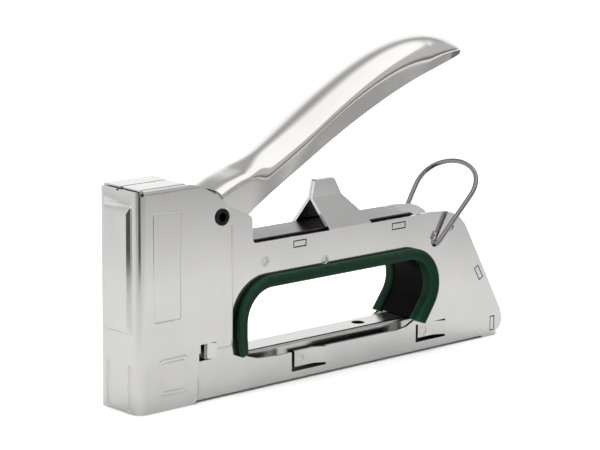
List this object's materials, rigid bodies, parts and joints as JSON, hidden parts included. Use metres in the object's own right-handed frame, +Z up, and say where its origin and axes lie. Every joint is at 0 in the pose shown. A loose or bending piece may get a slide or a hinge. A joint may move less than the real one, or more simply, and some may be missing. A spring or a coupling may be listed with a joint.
{
  "type": "staple gun",
  "caption": "Hand-squeezed staple gun with a plated steel body, open hand grip with plastic trim, sprung squeeze lever, rear-loading magazine and a wire lever lock.",
  "frame": {"origin": "middle of the nose's flat working face, where it is pressed on the work", "axes": "+X from the nose to the heel along the magazine, +Y to the user's right-hand side across the thickness, +Z up along the driver's stroke"},
  "size_m": [0.1913, 0.033, 0.1253],
  "materials": {
    "cover_plating": "bright nickel plate over pressed sheet",
    "plate_plating": "bright nickel plate over punched sheet",
    "lever_plating": "polished chrome",
    "grip_plastic": "dark green moulded plastic, satin",
    "black_oxide": "blackened steel, semi-gloss",
    "sleeve_brass": "turned",
    "pin_steel": "turned steel",
    "bracket_steel": "plain stamped steel",
    "hardened_steel": "hardened and ground",
    "bumper_rubber": "matte black",
    "spring_steel": "blued spring steel",
    "spring_wire": "drawn wire",
    "magazine_steel": "lengthwise brushed, plated",
    "cap_plastic": "black moulded plastic",
    "loop_wire": "drawn steel wire"
  },
  "bodies": {
    "frame": {"nose_cover": "cover_plating", "wear_plate": "hardened_steel", "nose_block": "hardened_steel", "driver_guide": "hardened_steel", "left_side_plate": "plate_plating", "right_side_plate": "plate_plating", "grip_trim": "grip_plastic", "pivot_pin": "black_oxide", "pivot_sleeve": "sleeve_brass", "spring_stop_pin": "pin_steel", "bumper_bracket": "bracket_steel", "bumper": "bumper_rubber", "front_spring_rest": "bracket_steel", "rear_spring_rest": "bracket_steel", "main_spring_upper": "spring_steel", "main_spring_lower": "spring_steel", "spacer_pins": "pin_steel", "back_strap": "bracket_steel", "rear_bracket": "bracket_steel", "magazine_channel": "magazine_steel", "return_spring": "spring_steel"},
    "lever": {"squeeze_lever": "lever_plating", "lift_arm": "hardened_steel", "lift_arm_pin": "pin_steel"},
    "driver": {"driver": "hardened_steel"},
    "magazine_drawer": {"staple_rail": "magazine_steel", "guide_rod": "pin_steel", "end_cap": "cap_plastic", "pusher_spring": "spring_wire", "latch_spring": "spring_wire"},
    "pusher": {"pusher": "bracket_steel"},
    "latch_button": {"latch_button": "pin_steel"},
    "lock_loop": {"lock_loop": "loop_wire"}
  },
  "joints": [
    {"name": "lever_pivot", "type": "hinge", "parent": "frame", "child": "lever", "pos_m": [0.0247, 0, 0.0681], "axis": [0, 1, 0], "range_deg": [0, 19], "stiffness_Nm_per_rad": 0.6, "springref_deg": -28.65, "deforming": ["return_spring"]},
    {"name": "driver_slide", "type": "slide", "parent": "frame", "child": "driver", "axis": [0, 0, 1], "range_m": [0, 0.0121], "deforming": ["main_spring_upper", "main_spring_lower"]},
    {"name": "drawer_slide", "type": "slide", "parent": "frame", "child": "magazine_drawer", "axis": [1, 0, 0], "range_m": [0, 0.12]},
    {"name": "pusher_slide", "type": "slide", "parent": "magazine_drawer", "child": "pusher", "axis": [1, 0, 0], "range_m": [0, 0.11], "stiffness_N_per_m": 25, "springref_m": -0.05, "deforming": ["pusher_spring"]},
    {"name": "latch_press", "type": "slide", "parent": "magazine_drawer", "child": "latch_button", "axis": [-1, 0, 0], "range_m": [0, 0.0012], "stiffness_N_per_m": 600, "springref_m": -0.001, "deforming": ["latch_spring"]},
    {"name": "loop_swing", "type": "hinge", "parent": "frame", "child": "lock_loop", "pos_m": [0.1353, 0, 0.0427], "axis": [0, 1, 0], "range_deg": [-98, 68]}
  ],
  "couplings": [
    {"joint": "driver_slide", "follows": "lever_pivot", "m_per_rad": 0.03608}
  ]
}
